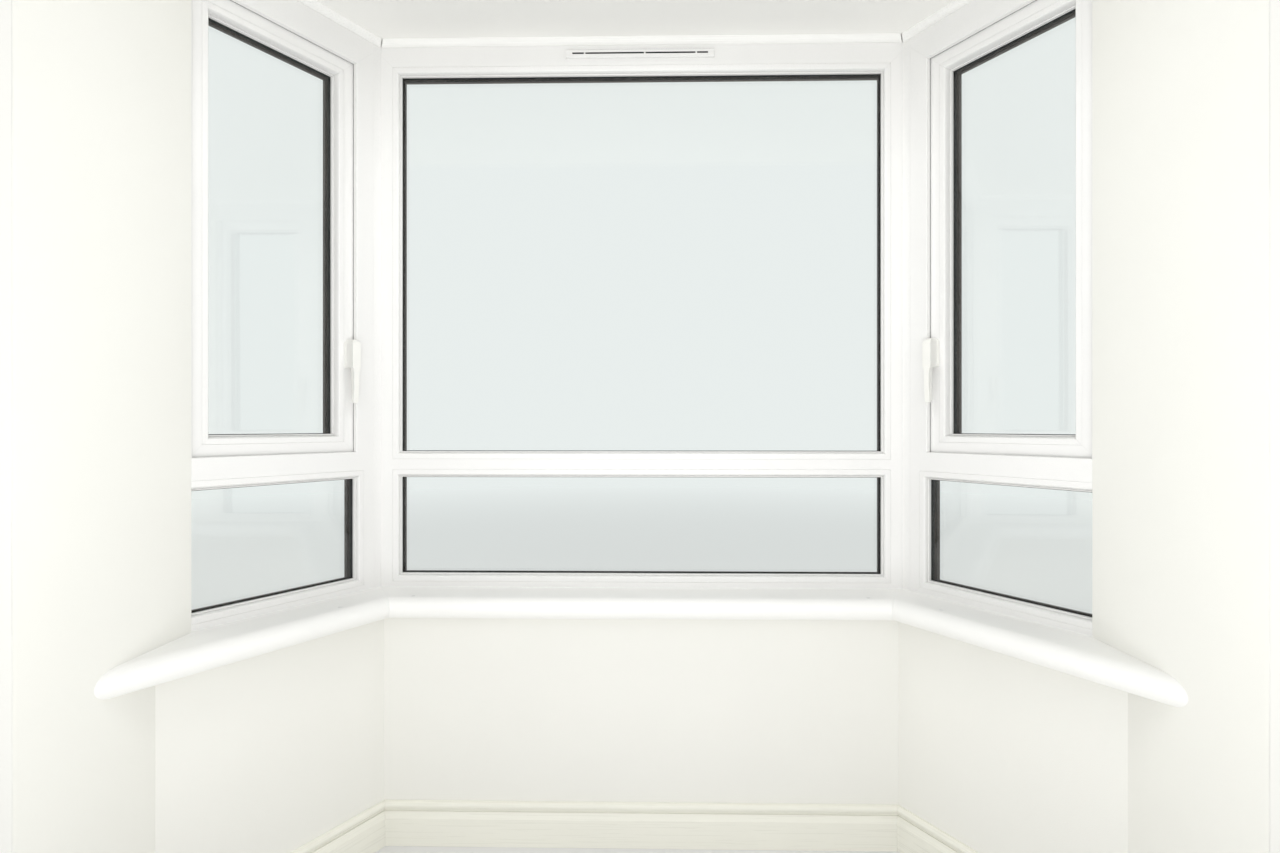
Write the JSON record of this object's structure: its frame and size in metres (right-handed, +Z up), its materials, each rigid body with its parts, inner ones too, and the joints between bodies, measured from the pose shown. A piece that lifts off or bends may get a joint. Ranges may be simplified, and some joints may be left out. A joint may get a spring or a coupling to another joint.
{
  "type": "splay bay window",
  "caption": "Splay bay window with white plastic frames, side casements, rounded window boards, plastered dwarf wall, reveals and a flat roof.",
  "frame": {"origin": "middle of the base at floor level, halfway between the room face of the house wall and the roof's front edge", "axes": "+X to the right as seen from the room, +Y outwards, +Z up"},
  "size_m": [2.56, 1.1081, 2.56],
  "materials": {
    "masonry": "plaster inside, roughcast outside",
    "ceiling_plaster": "matt paint",
    "roof_felt": "mineral felt",
    "brown_plastic": "woodgrain foil",
    "gloss_paint": "gloss paint",
    "board_plastic": "satin",
    "white_plastic": "satin",
    "glazing": "clear",
    "seal_rubber": "matt",
    "handle_coat": "satin"
  },
  "bodies": {
    "root": {"front_dwarf_wall": "masonry", "left_dwarf_wall": "masonry", "right_dwarf_wall": "masonry", "left_reveal_wall": "masonry", "right_reveal_wall": "masonry", "house_lintel": "masonry", "bay_ceiling": "ceiling_plaster", "flat_roof": "roof_felt", "fascia_boards": "brown_plastic", "soffit_boards": "brown_plastic", "head_trim": "gloss_paint", "front_skirting": "gloss_paint", "left_skirting": "gloss_paint", "right_skirting": "gloss_paint", "front_window_board": "board_plastic", "left_window_board": "board_plastic", "right_window_board": "board_plastic", "front_frame": "white_plastic", "left_frame": "white_plastic", "right_frame": "white_plastic", "left_corner_post": "white_plastic", "right_corner_post": "white_plastic", "left_post_cover": "brown_plastic", "right_post_cover": "brown_plastic", "left_sash": "white_plastic", "right_sash": "white_plastic", "left_sash_seal": "seal_rubber", "right_sash_seal": "seal_rubber", "front_upper_glass": "glazing", "front_lower_glass": "glazing", "left_sash_glass": "glazing", "right_sash_glass": "glazing", "left_lower_glass": "glazing", "right_lower_glass": "glazing", "front_upper_beads": "white_plastic", "front_lower_beads": "white_plastic", "left_sash_beads": "white_plastic", "right_sash_beads": "white_plastic", "left_lower_beads": "white_plastic", "right_lower_beads": "white_plastic", "left_handle": "handle_coat", "right_handle": "handle_coat", "trickle_vent": "white_plastic", "front_cill": "brown_plastic", "left_cill": "brown_plastic", "right_cill": "brown_plastic"}
  },
  "joints": []
}
